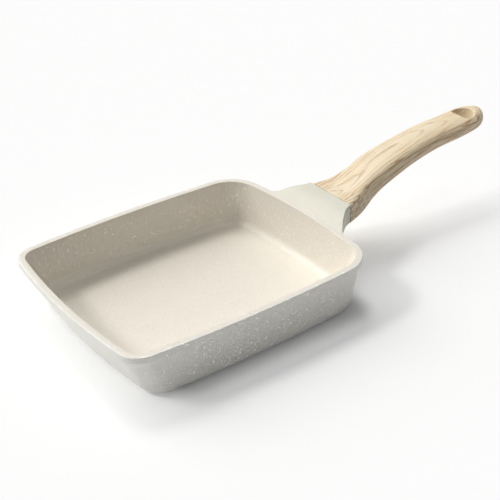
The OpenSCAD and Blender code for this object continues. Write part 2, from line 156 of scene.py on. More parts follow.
def lathe(profile, place, turn=None, steps=48):
    # (r, z) pairs swept round +Z: x = r cos a, y = r sin a; then turned by a matrix and moved into place
    a = roundTurn(steps)
    r, z = np.array(profile, float).T[..., None]
    grid = points(r * np.cos(a), r * np.sin(a), z)
    if turn is not None:
        grid = grid @ np.array(turn, float).T
    return grid + np.array(place, float)


axis = 0.01  # the radius that closes a lathed form

# lengths of the pieces are in millimetres
pan = {
    "length": 190, "width": 158.38, "height": 35.8,
    "wall": 3.2, "floor": 3.5, "bandHeight": 5.2, "bandStep": 1.6, "bandChamfer": 0.8,
    # soft step from wall to band: how far it starts below and ends above, and its power
    "stepBelow": 0.2, "stepAbove": 0.25, "stepPower": 0.8,
    "frontSlope": 13.6, "sideSlope": 3.5, "backSlope": 5.5,
    "frontBow": 481, "backBow": 419, "sideBow": 1020,
    "frontCorner": 15.6, "backCorner": 26, "leastCorner": 1.5,
    "baseRound": 5, "floorRound": 5, "rimRound": 0.4,
    "plateLength": 132.2, "plateWidth": 112.2, "plateCorner": 18.1, "plateDepth": 0.8,
    "lugWidth": 26, "lugThick": 4.4, "lugReach": 15, "screwHole": 2.1, "screwGap": 14,
    "headRadius": 4.2, "headMargin": 0.8,
    "endPoints": 22, "cornerPoints": 26, "sidePoints": 44, "lugPoints": 64,
    "baseRings": 11, "wallRings": 9, "stepRings": 8, "bandRings": 4, "rimRings": 8, "innerRings": 10,
    "floorRings": 13,
    # how far below the band's edge the wall's last ring lies, and above it the band's first
    "wallStop": 0.35, "bandStart": 1.5,
    # where the inside's colour starts: share of the wall, the turn over the rim, blur and lowest height
    "markMiddle": 0.55, "markTop": (0.42, 0.36), "markBlur": 0.5, "markFloor": 3.3,
    # the recess's lower ring and its mouth's cut, then rings of the foot and the level faces, as shares
    "recessStep": 0.85, "recessMouth": 0.002, "footShares": (0.25, 0.6, 0.9),
    "roofShares": (0.03, 0.2, 0.4, 0.6, 0.8, 0.95),
    "floorShares": (0.985, 0.95, 0.85, 0.7, 0.5, 0.3, 0.15, 0.03),
}
bandZ = pan["height"] - pan["bandHeight"]
lip = pan["bandStep"] + pan["wall"]
backX = pan["length"] / 2


def circleMeet(c1, r1, c2, r2, side):
    # the point r1 from c1 and r2 from c2: a = (r1^2 - r2^2 + d^2) / 2d along the line between them,
    # and sqrt(r1^2 - a^2) to one side of it
    d = c2 - c1
    span = np.hypot(*d)
    u = d / span
    a = (r1**2 - r2**2 + span**2) / (2 * span)
    return c1 + a * u + side * math.sqrt(max(r1**2 - a**2, 0)) * np.array([-u[1], u[0]])


def arcPoints(c, r, a0, a1, n):
    # n points c + r (cos a, sin a) on an arc, without its last one
    a = np.linspace(a0, a1, n, endpoint=False)
    return points(c[0] + r * np.cos(a), c[1] + r * np.sin(a))


def angleOf(v):
    # the direction of a vector, from 0 to a full turn
    return math.atan2(v[1], v[0]) % (2 * math.pi)


def panOutline(inset, share):
    # four bowed sides and four corner arcs, each touching the next: every radius is less the inset,
    # and every side's arc is moved in by the share of its wall's slope
    rf, rb = (max(pan[k] - inset, pan["leastCorner"]) for k in ("frontCorner", "backCorner"))
    rFront, rBack, rSide = (pan[k] - inset for k in ("frontBow", "backBow", "sideBow"))
    cf = np.array([-backX + share * pan["frontSlope"] + pan["frontBow"], 0])
    cb = np.array([backX - share * pan["backSlope"] - pan["backBow"], 0])
    cs = np.array([0, pan["width"] / 2 - share * pan["sideSlope"] - pan["sideBow"]])
    kb = circleMeet(cb, rBack - rb, cs, rSide - rb, 1)
    kf = circleMeet(cf, rFront - rf, cs, rSide - rf, -1)
    a1, a2, a3, a4 = angleOf(kb - cb), angleOf(kb - cs), angleOf(kf - cs), angleOf(kf - cf)
    half = np.concatenate([
        arcPoints(cb, rBack, 0, a1, pan["endPoints"]),
        arcPoints(kb, rb, a1, a2, pan["cornerPoints"]),
        arcPoints(cs, rSide, a2, a3, pan["sidePoints"]),
        arcPoints(kf, rf, a3, a4, pan["cornerPoints"]),
        arcPoints(cf, rFront, a4, math.pi, pan["endPoints"]),
        [[cf[0] - rFront, 0]],
    ])
    return np.concatenate([half, half[-2:0:-1] * [1, -1]])


def ringAt(inset, share, z):
    # the outline as a level ring at height z
    return points(*panOutline(inset, share).T, z)


def recessRing(toward):
    # the plate's rounded rectangle, its points in the directions of another ring's from the base's middle:
    # reach = min(half length / |cos|, half width / |sin|), and in the corners the far meeting of the
    # direction with the corner's circle
    halfX, halfY, corner = pan["plateLength"] / 2, pan["plateWidth"] / 2, pan["plateCorner"]
    aim = np.arctan2(toward[:, 1], toward[:, 0] - baseX)
    c, s = np.abs(np.cos(aim)), np.abs(np.sin(aim))
    reach = np.minimum(halfX / np.maximum(c, 1e-9), halfY / np.maximum(s, 1e-9))
    x, y = halfX - corner, halfY - corner
    near = c * x + s * y
    curved = near + np.sqrt(np.maximum(near**2 - x**2 - y**2 + corner**2, 0))
    reach = np.where((reach * c > x) & (reach * s > y), curved, reach)
    return points(baseX + reach * np.cos(aim), reach * np.sin(aim), 0)


baseInset = pan["bandStep"] + pan["baseRound"]
baseX = ((backX - baseInset - pan["backSlope"]) - (backX - baseInset - pan["frontSlope"])) / 2


def shrunkRings(ring, shares):
    # copies middle + share * (ring - middle) of a level ring
    middle = np.array([baseX, 0, ring[0, 2]])
    return [middle + (ring - middle) * s for s in shares]


def slopeShare(z):
    # how much of a wall's slope is left at height z: 1 at the base, 0 under the band
    return 1 - z / bandZ


def edgeReach(low, high, centre, aim):
    # how far it is from the centre to the side that lies ahead: (side - centre) / aim
    ahead, behind = (high - centre) / np.maximum(aim, 1e-9), (low - centre) / np.minimum(aim, -1e-9)
    return np.where(aim > 0, ahead, behind)


def lugHalf(side):
    # half of the cast lug: a band from its screw hole out to the slab's edge, in each direction (cos a, sin a)
    start = backX - pan["bandStep"] - pan["wall"] / 2 - pan["backSlope"] * slopeShare(lugLow)
    end, half = backX + pan["lugReach"], pan["lugWidth"] / 2
    x, y = end - pan["headRadius"] - pan["headMargin"], side * pan["screwGap"] / 2
    a = roundTurn(pan["lugPoints"])
    c, s = np.cos(a), np.sin(a)
    across = edgeReach(min(0, side * half), max(0, side * half), y, s)
    reach = np.minimum(edgeReach(start, end, x, c), across)
    top, r = lugLow + pan["lugThick"], pan["screwHole"]
    loops = [(r, lugLow), (reach, lugLow), (reach, top), (r, top)]
    return torus(np.array([points(x + out * c, y + out * s, z) for out, z in loops]))


def lowRounding(inset, low, r, first, last, count):
    # rings of a rounding onto a level face at height low: inset + r (1 - sin a), low + r (1 - cos a)
    rings = []
    for a in np.radians(np.linspace(first, last, count)):
        z = low + r * (1 - math.cos(a))
        rings.append(ringAt(inset + r * (1 - math.sin(a)), slopeShare(z), z))
    return rings


def rimRounding(inset, side, first, last):
    # rings of the rim's rounding: inset + side * r (1 - cos a), top - r (1 - sin a)
    r, top = pan["rimRound"], pan["height"]
    return [
        ringAt(inset + side * r * (1 - math.cos(a)), 0, top - r * (1 - math.sin(a)))
        for a in np.radians(np.linspace(first, last, pan["rimRings"]))]


def buildPan():
    # one closed skin through rings: roof of the plate's recess, foot, base rounding, wall, soft step
    # band step * (1 - eased^power), band, rim rounding, inner wall, floor rounding, floor
    rings = []
    foot = ringAt(baseInset, 1, 0)
    recess = recessRing(foot)
    roof = recess + [0, 0, pan["plateDepth"]]
    rings += shrunkRings(roof, pan["roofShares"])
    back = pan["recessMouth"]
    rings += [roof, blend(roof, recess, pan["recessStep"]), recess + (recess - [baseX, 0, 0]) * [back, back, 0]]
    rings += [blend(recess, foot, t) for t in pan["footShares"]]
    rings += lowRounding(pan["bandStep"], 0, pan["baseRound"], 0, 90, pan["baseRings"])
    for z in np.linspace(pan["baseRound"], bandZ - pan["wallStop"], pan["wallRings"])[1:]:
        rings.append(ringAt(pan["bandStep"], slopeShare(z), z))
    for t in np.linspace(0, 1, pan["stepRings"]):
        z = blend(bandZ - pan["stepBelow"], bandZ + pan["bandChamfer"] + pan["stepAbove"], t)
        rings.append(ringAt(pan["bandStep"] * (1 - float(eased(t)) ** pan["stepPower"]), 0, z))
    top, r = pan["height"], pan["rimRound"]
    for z in np.linspace(bandZ + pan["bandStart"], top - r, pan["bandRings"])[:-1]:
        rings.append(ringAt(0, 0, z))
    rings += rimRounding(0, 1, 0, 90)
    rings.append(ringAt(blend(r, lip - r, 0.5), 0, top))
    rings += rimRounding(lip, -1, 90, 0)
    low = pan["floor"] + pan["floorRound"]
    for z in np.linspace(top - r, low, pan["innerRings"])[1:-1]:
        rings.append(ringAt(lip, slopeShare(low) * (top - r - z) / (top - r - low), z))
    rings += lowRounding(lip, pan["floor"], pan["floorRound"], 90, 0, pan["floorRings"])
    rings += shrunkRings(rings[-1], pan["floorShares"])
    return makePiece("pan_shell", [tube(np.array(rings)), lugHalf(1), lugHalf(-1)])


neck = {
    "length": 20, "rootWidth": 78.4, "rootDrop": 0.5, "rootHeight": 10.8, "rootShare": 0.3,
    "coverThick": 1.2, "partingGap": 0.5, "shell": 1.8, "endWall": 2.4, "panGap": 0.2, "lugGap": 0.3,
    "coverEdge": 0.8, "coverEndDrop": 0.25, "coverEnds": (0.02, 0.98), "coverLow": 1,
    "rows": 44, "cols": 96, "coverCols": 60, "baseSteps": 14, "baseStride": 0.7, "coverSteps": 10,
    # the base's end at the grip: soft edge, half width and half height
    "endEdge": 0.3, "endHalfWidth": 21, "endHalfHeight": 8,
    "seatZ": 30.95, "seatFloor": 1.2, "seatRadius": 4.3, "boreRadius": 3.1, "holeRadius": 1.6, "bossRadius": 3,
    # the pad and bore of a screw; the bore flares from so far below its floor
    "padLow": 27, "boreLow": 20, "boreHigh": 34, "boreFlare": 0.35, "flareDrop": 3.4,
    "screwX": 107.4, "screwY": 18,
    # slot for the tongue: half width, floor, and where its corners come along the section
    "slotHalf": 8.25, "slotZ": 32.2, "slotRun": (0, 0.36, 0.64, 1),
}
grip = {
    "length": 142.84, "rise": 28.49, "seamDrop": 1.8, "seamWidth": 43, "seamHeight": 16.1,
    "width": 29.4, "height": 13.6, "endWidth": 28.8, "endHeight": 12, "endRound": 18.2, "seamGap": 0.4,
    "eyeWidth": 17.2, "eyeLength": 11.8, "eyeEdge": 9.8, "eyeLip": 1.1,
    # the eye: share and power of its round part, power of its straight part, angles of its lip, and how its
    # cutter widens and stands out
    "eyeBulge": 0.67, "eyeRound": 2.2, "eyeStraight": 3, "eyePoints": 96,
    "lipAngles": (0, 20, 40, 60, 78), "lipFlare": 1.15, "lipOver": (0.12, 4),
    "planPower": 2, "sidePower": 4.5, "rings": 120, "endRings": 40, "cols": 128,
    # the rounded edge at the seam: size, places of its rings and how much of it each takes off
    "edgeRound": 0.45, "edgePlaces": (0, 0.15, 0.5, 1), "edgeShrink": (1, 0.5, 0.13, 0),
    # sections turn from upright to square over the first share
    "leanShare": 0.1, "slopeStep": 0.005, "pathStretch": 1.02,
}
# the bracket's tongue, nuts and screws, which the grip leaves room for
tongue = {
    "lean": 20, "gap": 0.25, "strip": 2.5, "nut": 3.2, "bendReach": 3, "length": 29, "halfWidth": 8.25,
    "screws": (7, 22), "headBore": 4.5, "headTop": -4.4, "shankBore": 2.1, "boreLow": -24, "boreHigh": 1,
}
seamX = backX + neck["length"]
seamZ = pan["height"] - grip["seamDrop"]
seamTop, seamBottom = seamZ + grip["seamHeight"] / 2, seamZ - grip["seamHeight"] / 2
lugLow = seamBottom + neck["shell"] + neck["lugGap"]
rootZ = pan["height"] - neck["rootDrop"]
# stations by share of the neck's length: how far its width and top are from root to grip, and its power
neckFlare = [(-0.3, -0.316), (-0.075, 0), (0.1, 0.25), (0.275, 0.46), (0.55, 0.72), (0.75, 0.89), (1, 1)]
neckLift = [(-0.3, 0), (-0.075, 0), (0.1, 0.16), (0.275, 0.51), (0.55, 0.82), (1, 1)]
neckHalf = [(s * neck["length"], blend(neck["rootWidth"], grip["seamWidth"], f) / 2) for s, f in neckFlare]
neckTop = [(s * neck["length"], blend(rootZ, seamTop, f)) for s, f in neckLift]
neckSquare = [(-0.3, 2.2), (0, 2.8), (0.25, 5.5), (0.45, 9), (1, 10)]


def partingZ(x):
    # the neck base's top: the neck's top line less the cover and the gap
    return curveAt(neckTop, x) - neck["coverThick"] - neck["partingGap"]


def neckBottomZ(x):
    # straight from the rim's underside to the grip's, over the neck's length and its root
    t = (x + neck["rootShare"] * neck["length"]) / ((1 + neck["rootShare"]) * neck["length"])
    return blend(rootZ - neck["rootHeight"], seamBottom, t)


def wallX(y, z):
    # how far behind the rim the pan's outside lies at y and z, grown by the gap: the back arc
    # sqrt((bow - inset)^2 - y^2) - bow, less the wall's slope below the band
    gap = neck["panGap"]
    high = bandZ - gap - pan["bandChamfer"]
    share = np.clip(1 - z / high, 0, None)
    chamfer = np.clip(bandZ - gap - z, 0, None) / pan["bandChamfer"] * pan["bandStep"]
    inset = np.where(z < high, pan["bandStep"], chamfer) - gap
    return -share * pan["backSlope"] - pan["backBow"] + np.sqrt((pan["backBow"] - inset) ** 2 - y**2)


def sideSection(x, a, shrink, topZ, lift):
    # superellipse hung from a flat top: y = -w cos(a)^p, z = top - (top - low) sin(a)^p, a from 0 to pi
    w = curveAt(neckHalf, x) - shrink
    low = neckBottomZ(x) + lift
    p = 2 / curveAt(neckSquare, x / neck["length"])
    y = signedPower(-np.cos(a), p) * w
    return y, topZ - (topZ - low) * np.abs(np.sin(a)) ** p


def troughSheet(shrink, lift, endX):
    # rows run from the pan's wall to the neck's end, columns round the section; each column's start is
    # found by stepping x towards the wall until both agree
    a = np.linspace(0, np.pi, neck["cols"] + 1)
    start = np.zeros_like(a)
    for _ in range(neck["baseSteps"]):
        y, z = sideSection(start, a, shrink, partingZ(start), lift)
        start = blend(start, wallX(y, z), neck["baseStride"])
    u = np.linspace(0, 1, neck["rows"])[:, None]
    x = blend(start, endX, u)
    y, z = sideSection(x, a, shrink, partingZ(x), lift)
    return points(backX + x, y, z)


def buildNeckBase():
    # an open trough: inner and outer skins joined at the pan's end, along the top edges and through the
    # end wall's slot, with two screw seats added and bored
    outer = troughSheet(0, 0, neck["length"])
    inner = troughSheet(neck["shell"], neck["shell"], neck["length"] - neck["endWall"])
    cols = outer.shape[1]
    # the slot for the tongue, as a U with as many points as the section
    top = outer[-1, 0, 2]
    h, z0 = neck["slotHalf"], neck["slotZ"]
    t = np.linspace(0, 1, cols)
    run = neck["slotRun"]
    slotOut = points(seamX, np.interp(t, run, [-h, -h, h, h]), np.interp(t, run, [top, z0, z0, top]))
    slotIn = slotOut - [neck["endWall"], 0, 0]
    slotIn[[0, -1], 2] = inner[-1, 0, 2]
    edge = neck["endEdge"]
    middle = np.array([seamX, 0, seamZ])
    soft = middle + (outer[-1] - middle) * [1, 1 - edge / neck["endHalfWidth"], 1 - edge / neck["endHalfHeight"]]
    soft[:, 2] = np.where(np.arange(cols) % (cols - 1) == 0, top, soft[:, 2])
    back = outer[-1] - [edge, 0, 0]
    grid = np.concatenate([inner, [slotIn, slotOut, soft, back], outer[-2::-1]])
    rows = len(grid)
    faces = gridFaces(rows, cols)
    # pan end: the last row joins the first
    faces += [[(rows - 1) * cols + j, (rows - 1) * cols + j + 1, j + 1, j] for j in range(cols - 1)]
    # the two top edges: the outer rows, from the last back, face the inner rows
    n = len(inner)
    for col in (0, cols - 1):
        outerLine = [i * cols + col for i in range(rows - 1, n, -1)]
        innerLine = [min(i, n) * cols + col for i in range(len(outerLine))]
        for i in range(len(outerLine) - 1):
            quad = list(dict.fromkeys([innerLine[i], innerLine[i + 1], outerLine[i + 1], outerLine[i]]))
            if len(quad) > 2:  # corners that fall together count once
                faces.append(quad)
    obj = makePiece("neck_bolster", [(grid.reshape(-1, 3), faces)])
    for y in (-neck["screwY"], neck["screwY"]):
        place = (neck["screwX"], y, 0)
        seat, top, base = neck["seatRadius"], neck["seatZ"], neck["padLow"]
        pad = lathe([(axis, base), (seat, base), (seat, top), (axis, top)], place)
        combine(obj, pad, "UNION")
        low, wide, hole = top - neck["seatFloor"], neck["boreRadius"], neck["holeRadius"]
        bore = lathe([
            (axis, neck["boreLow"]), (wide + neck["boreFlare"], neck["boreLow"]),
            (wide, low - neck["flareDrop"]), (wide, low), (hole, low), (hole, neck["boreHigh"]),
            (axis, neck["boreHigh"]),
        ], place)
        combine(obj, bore, "DIFFERENCE")
    return obj


def buildNeckCover():
    # a slab between a flat underside and a top whose edges fall by r - sqrt(r^2 - (r - inside)^2), where
    # y = half width * sin(t pi / 2)
    cols, rows = neck["coverCols"], neck["rows"]
    r = neck["coverEdge"]
    t = np.linspace(-1, 1, cols)
    s = np.sin(t * np.pi / 2)

    def section(x, rounded):
        # half width and height of the top or the underside
        w, z = curveAt(neckHalf, x), curveAt(neckTop, x)
        y = s * w
        if not rounded:
            return y, z - neck["coverThick"]
        inside = np.clip(w - np.abs(y), 0, r)
        return y, z - r + np.sqrt(np.clip(r**2 - (r - inside) ** 2, 0, None))

    sheets = []
    for rounded in (True, False):
        start = np.zeros(cols)
        for _ in range(neck["coverSteps"]):
            y, z = section(start, rounded)
            start = wallX(y, np.maximum(z, bandZ + neck["coverLow"]))
        u = np.concatenate([[0], np.linspace(*neck["coverEnds"], rows), [1]])[:, None]
        x = blend(start, neck["length"], u)
        y, z = section(x, rounded)
        z = z - rounded * neck["coverEndDrop"] * np.concatenate([[1], np.zeros(rows), [1]])[:, None]
        sheets.append(points(backX + x, y, z))
    top, bottom = sheets
    ring = np.concatenate([top, bottom[:, ::-1]], 1)
    count, width = ring.shape[:2]
    faces = gridFaces(count, width, True)
    for i in (0, count - 1):
        start, end = i * width, (i + 1) * width
        faces += [[start + j, start + j + 1, end - 2 - j, end - 1 - j] for j in range(cols - 1)]
    parts = [(ring.reshape(-1, 3), faces)]
    bossTop = float(curveAt(neckTop, np.array([neck["screwX"] - backX]))[0]) - neck["coverThick"] / 2
    for y in (-neck["screwY"], neck["screwY"]):
        hole, wide, low = neck["holeRadius"], neck["bossRadius"], neck["seatZ"]
        boss = lathe([(hole, low), (wide, low), (wide, bossTop), (hole, bossTop)], (neck["screwX"], y, 0))
        parts.append(torus(boss))
    return makePiece("neck_cap", parts)


# stations by share of the grip's length: rise of its middle line, half sizes, powers of its section
gripPath = [(0, 0), (0.08, 0.046), (0.17, 0.223), (0.28, 0.46), (0.44, 0.683), (0.62, 0.84), (0.8, 0.899), (1, 1)]
gripHalfWidth = [
    (0, grip["seamWidth"] / 2), (0.09, blend(grip["seamWidth"], grip["width"], 0.51) / 2),
    (0.19, grip["width"] / 2), (0.31, grip["width"] / 2 + 0.3), (0.54, grip["width"] / 2 - 0.7),
    (0.8, grip["endWidth"] / 2), (1, grip["endWidth"] / 2 - 1.35),
]
gripHalfHeight = [
    (0, grip["seamHeight"] / 2), (0.12, grip["seamHeight"] / 2 + 0.35), (0.45, grip["height"] / 2),
    (0.85, grip["endHeight"] / 2), (1, grip["endHeight"] / 2),
]
gripSquareTop = [(0, 9), (0.12, 5.4), (0.3, 4), (0.6, 3), (1, 2.2)]
gripSquareBottom = [(0, 8), (0.12, 4.9), (0.3, 3.5), (0.6, 3.2), (1, 2.6)]


def gripSlope(f):
    # slope of the middle line, from two points close to f
    a, b = np.maximum(f - grip["slopeStep"], 0), np.minimum(f + grip["slopeStep"], 1)
    return (curveAt(gripPath, b) - curveAt(gripPath, a)) / (b - a) * grip["rise"] / grip["length"]


def gripSizes(f):
    # half width, half height and the direction of up at share f; towards the tip both sizes fall by
    # (1 - k^p)^(1 / p), where k runs from 0 to 1 over the end's rounding
    k = np.clip((f - 1) * grip["length"] / grip["endRound"] + 1, 0, 1)
    w = curveAt(gripHalfWidth, f) * (1 - k ** grip["planPower"]) ** (1 / grip["planPower"])
    h = curveAt(gripHalfHeight, f) * (1 - k ** grip["sidePower"]) ** (1 / grip["sidePower"])
    lean = eased(f / grip["leanShare"]) * gripSlope(f)
    size = np.sqrt(1 + lean**2)
    return w, h, -lean / size, 1 / size


def gripMiddle(f):
    # x and z of the grip's middle line at share f of its length
    return seamX + grip["length"] * f, seamZ + grip["rise"] * curveAt(gripPath, f)


def gripFace(x, y, side):
    # height of the grip's upper or lower face over a point in plan: v = h (1 - |y / w|^n)^(1 / n) above
    # the middle line, with f stepped until the point lies over it
    f = (x - seamX) / grip["length"]
    for _ in range(8):
        w, h, upX, upZ = gripSizes(f)
        n = curveAt(gripSquareTop if side > 0 else gripSquareBottom, f)
        v = side * h * np.clip(1 - np.clip(np.abs(y) / w, 0, 1) ** n, 0, 1) ** (1 / n)
        f = (x - upX * v - seamX) / grip["length"]
    return gripMiddle(f)[1] + upZ * v


def eyeLoop(grow):
    # the hanging eye in plan, grown outwards: a superellipse, reach * cos(a)^p by half width * sin(a)^p,
    # nearly straight towards the pan and round towards the tip
    a = roundTurn(grip["eyePoints"])
    bulge = grip["eyeLength"] * grip["eyeBulge"]
    ahead = np.cos(a) > 0
    reach = np.where(ahead, bulge, grip["eyeLength"] - bulge) + grow
    p = 2 / np.where(ahead, grip["eyeRound"], grip["eyeStraight"])
    x = seamX + grip["length"] - grip["eyeEdge"] - bulge + reach * signedPower(np.cos(a), p)
    return x, (grip["eyeWidth"] / 2 + grow) * signedPower(np.sin(a), p)


def gripSkin():
    # superellipse sections square to the middle line: y = w cos(a)^(2 / n), up = h sin(a)^(2 / n)
    first = grip["seamGap"] / grip["length"]
    body = 1 - grip["endRound"] / grip["length"]
    e = grip["edgeRound"]
    f = np.concatenate([
        first + np.array(grip["edgePlaces"]) * e / grip["length"],
        np.linspace(first + 2.5 * e / grip["length"], body, grip["rings"])[:-1],
        blend(body, 1, np.sin(np.radians(np.linspace(0, 89, grip["endRings"])))),
    ])
    shrink = np.zeros(len(f))
    shrink[:4] = e * np.array(grip["edgeShrink"])
    w, h, upX, upZ = gripSizes(f)
    w, h = w - shrink, h - shrink
    x, z = gripMiddle(f)
    a = roundTurn(grip["cols"])
    n = np.where(np.sin(a) >= 0, curveAt(gripSquareTop, f)[:, None], curveAt(gripSquareBottom, f)[:, None])
    v = h[:, None] * signedPower(np.sin(a), 2 / n)
    y = w[:, None] * signedPower(np.cos(a), 2 / n)
    grid = points(x[:, None] + upX[:, None] * v, y, z[:, None] + upZ[:, None] * v)
    return makePiece("grip_wood", [tube(grid)])


def cutForTongue(obj):
    # a pocket for the tongue and its nuts, grown by the gap, then bores square to the tongue for the screws
    lean, gap, thick = math.radians(tongue["lean"]), tongue["gap"], tongue["strip"] + tongue["nut"]
    stripZ, bendX = lugLow + pan["lugThick"], seamX + tongue["bendReach"]
    along, up = np.array([math.cos(lean), math.sin(lean)]), np.array([-math.sin(lean), math.cos(lean)])
    tip = np.array([bendX, stripZ]) + (tongue["length"] + gap) * along
    roof, bend = thick + gap, math.tan(lean / 2)
    side = np.array([
        [seamX - 1, stripZ - gap], [bendX + gap * bend, stripZ - gap], tip - gap * up, tip + roof * up,
        [bendX - roof * bend, stripZ + roof], [seamX - 1, stripZ + roof],
    ])
    walls = [points(side[:, 0], s * tongue["halfWidth"], side[:, 1]) for s in (-1, 1)]
    combine(obj, np.array(walls), "DIFFERENCE")

    turn = np.array([[along[0], 0, up[0]], [0, 1, 0], [along[1], 0, up[1]]])
    low, seat, high = tongue["boreLow"], tongue["headTop"], tongue["boreHigh"]
    wide, hole = tongue["headBore"], tongue["shankBore"]
    for d in tongue["screws"]:
        place = np.array([bendX + d * along[0], 0, stripZ + d * along[1]])
        profile = [(axis, low), (wide, low), (wide, seat), (hole, seat), (hole, high), (axis, high)]
        combine(obj, lathe(profile, place, turn), "DIFFERENCE")


def cutEye(obj):
    # the hanging eye, with a lip rolled out by r (1 - cos c) and in by r (1 - sin c) above and below
    r = grip["eyeLip"]
    loops = []
    for face in (-1, 1):
        edge = []
        for c in map(math.radians, grip["lipAngles"]):
            x, y = eyeLoop(r * (1 - math.cos(c)))
            edge.append(points(x, y, gripFace(x, y, face) - face * r * (1 - math.sin(c))))
        x, y = eyeLoop(r * grip["lipFlare"])
        over = gripFace(x, y, face)
        edge += [points(x, y, over + face * rise) for rise in grip["lipOver"]]
        loops += edge[::-1] if face < 0 else edge
    combine(obj, np.array(loops), "DIFFERENCE")


def buildGrip():
    # the wood with its pocket, its screw bores and its eye
    obj = gripSkin()
    cutForTongue(obj)
    cutEye(obj)
    return obj


def vertexPlaces(mesh):
    # x, y and z of a mesh's points in millimetres
    places = np.zeros(len(mesh.vertices) * 3)
    mesh.vertices.foreach_get("co", places)
    return (places.reshape(-1, 3) * 1000).T


def grainCoordinates(obj):
    # the wood's own frame in metres: along the grip, across it, and (z - middle line) / sqrt(1 + slope^2)
    x, y, z = vertexPlaces(obj.data)
    f = np.clip((x - seamX) / grip["length"], -0.02, 1)
    above = (z - gripMiddle(f)[1]) / np.sqrt(1 + gripSlope(np.clip(f, 0, 1)) ** 2)
    own = points(f * grip["length"] * grip["pathStretch"], y, above) / 1000
    layer = obj.data.attributes.new("grain", "FLOAT_VECTOR", "POINT")
    layer.data.foreach_set("vector", own.astype(np.float32).ravel())


class Flow:
    # one output of a node; arithmetic on it adds Math nodes to the same material
    def __init__(self, tree, socket=None):
        self.tree, self.socket = tree, socket

    def add(self, kind, inputs, output=0, **settings):
        # a node with these values or links on its inputs
        node = self.tree.nodes.new("ShaderNode" + kind)
        for key, value in settings.items():
            setattr(node, key, value)
        for key, value in inputs.items():
            if isinstance(value, Flow):
                self.tree.links.new(value.socket, node.inputs[key])
            else:
                node.inputs[key].default_value = value
        return Flow(self.tree, node.outputs[output] if node.outputs else None)

    def out(self, name):
        return Flow(self.tree, self.socket.node.outputs[name])

    def maths(self, operation, *values):
        return self.add("Math", dict(enumerate(values)), operation=operation)

    def __add__(self, other): return self.maths("ADD", self, other)
    def __sub__(self, other): return self.maths("SUBTRACT", self, other)
    def __rsub__(self, other): return self.maths("SUBTRACT", other, self)
    def __mul__(self, other): return self.maths("MULTIPLY", self, other)
    def __truediv__(self, other): return self.maths("DIVIDE", self, other)
    def __pow__(self, other): return self.maths("POWER", self, other)

    def ramp(self, low, high):
        # 0 below low, 1 above high, eased between
        values = {"Value": self, "From Min": low, "From Max": high}
        return self.add("MapRange", values, interpolation_type="SMOOTHSTEP")

    def mix(self, a, b):
        # the colour a where this value is 0 and b where it is 1
        return self.add("Mix", {0: self, 6: a, 7: b}, 2, data_type="RGBA")

    def size(self):
        # the value without its sign
        return self.maths("ABSOLUTE", self)

    def most(self, other):
        return self.maths("MAXIMUM", self, other)

    def vector(self, operation, values):
        return self.add("VectorMath", values, operation=operation)

    def noise(self, coords, scale, detail=3, rough=0.55):
        # fractal noise round 0.5
        values = {"Vector": coords, "Scale": scale, "Detail": detail, "Roughness": rough}
        return self.add("TexNoise", values)

    def bump(self, height, strength, distance, **more):
        return self.add("Bump", {"Height": height, "Strength": strength, "Distance": distance, **more})


def linear(*screen):
    # an 8-bit screen colour as shaders use it: ((c + 0.055) / 1.055)^2.4, and c / 12.92 in the darks
    c = np.array(screen) / 255
    return (*np.where(c <= 0.04045, c / 12.92, ((c + 0.055) / 1.055) ** 2.4).tolist(), 1)


def newMaterial(name):
    # an empty node material and the flow that fills it
    material = bpy.data.materials.new(name)
    material.use_nodes = True
    material.node_tree.nodes.clear()
    return material, Flow(material.node_tree)


def finishMaterial(flow, sockets):
    # a Principled surface with these socket values and links
    flow.add("OutputMaterial", {"Surface": flow.add("BsdfPrincipled", sockets)})


def objectPlace(flow, scale=(1, 1, 1), move=(0, 0, 0)):
    # the point in metres, through a Mapping node: place * scale + move
    coords = flow.add("TexCoord", {}, "Object")
    return flow.add("Mapping", {"Vector": coords, "Scale": scale, "Location": move})


def varied(cloud, roughness):
    # roughness that goes up and down with a cloud: roughness + 0.08 * (cloud - 0.5)
    return cloud * 0.08 + (roughness - 0.04)


paintIor = 1.45

coat = {
    "inside": (239, 233, 222), "outside": (240, 239, 234), "dark": (200, 193, 180), "fleck": (232, 230, 224),
    "cloudScale": 28, "mottleScale": 420, "grainScale": 2200, "rippleScale": 260,
    # shares of the dark tone
    "cloudTone": 0.10, "mottleTone": 0.22, "overallTone": 0.05,
    "roughness": 0.36, "fleckRoughness": 0.38, "bumpStrength": 0.05, "bumpDepth": 0.0002,
    # scale of the cells, radius in cells, share of the cells left empty, strength, shift of the pattern
    "flecks": ((740, 0.26, 0.58, 0.95, 1), (370, 0.16, 0.74, 0.9, 4), (1400, 0.32, 0.40, 0.8, 7)),
    # how far flecks lean, how much they all lean upwards, and the part of the radius that is full
    "tilt": 1.1, "settled": 0.3, "fleckCore": 0.85,
    # the share of a fleck that shows on inner walls, on the floor and on walls that face along X
    "fleckInside": 0.76, "fleckFloor": 0.1, "fleckEnds": 0.35,
    # heights in metres where the floor ends and the rim starts, and the X of an end wall's normal
    "floorEnd": (0.0038, 0.009), "rimStart": (0.0346, 0.0354), "endFacing": (0.5, 0.8),
}


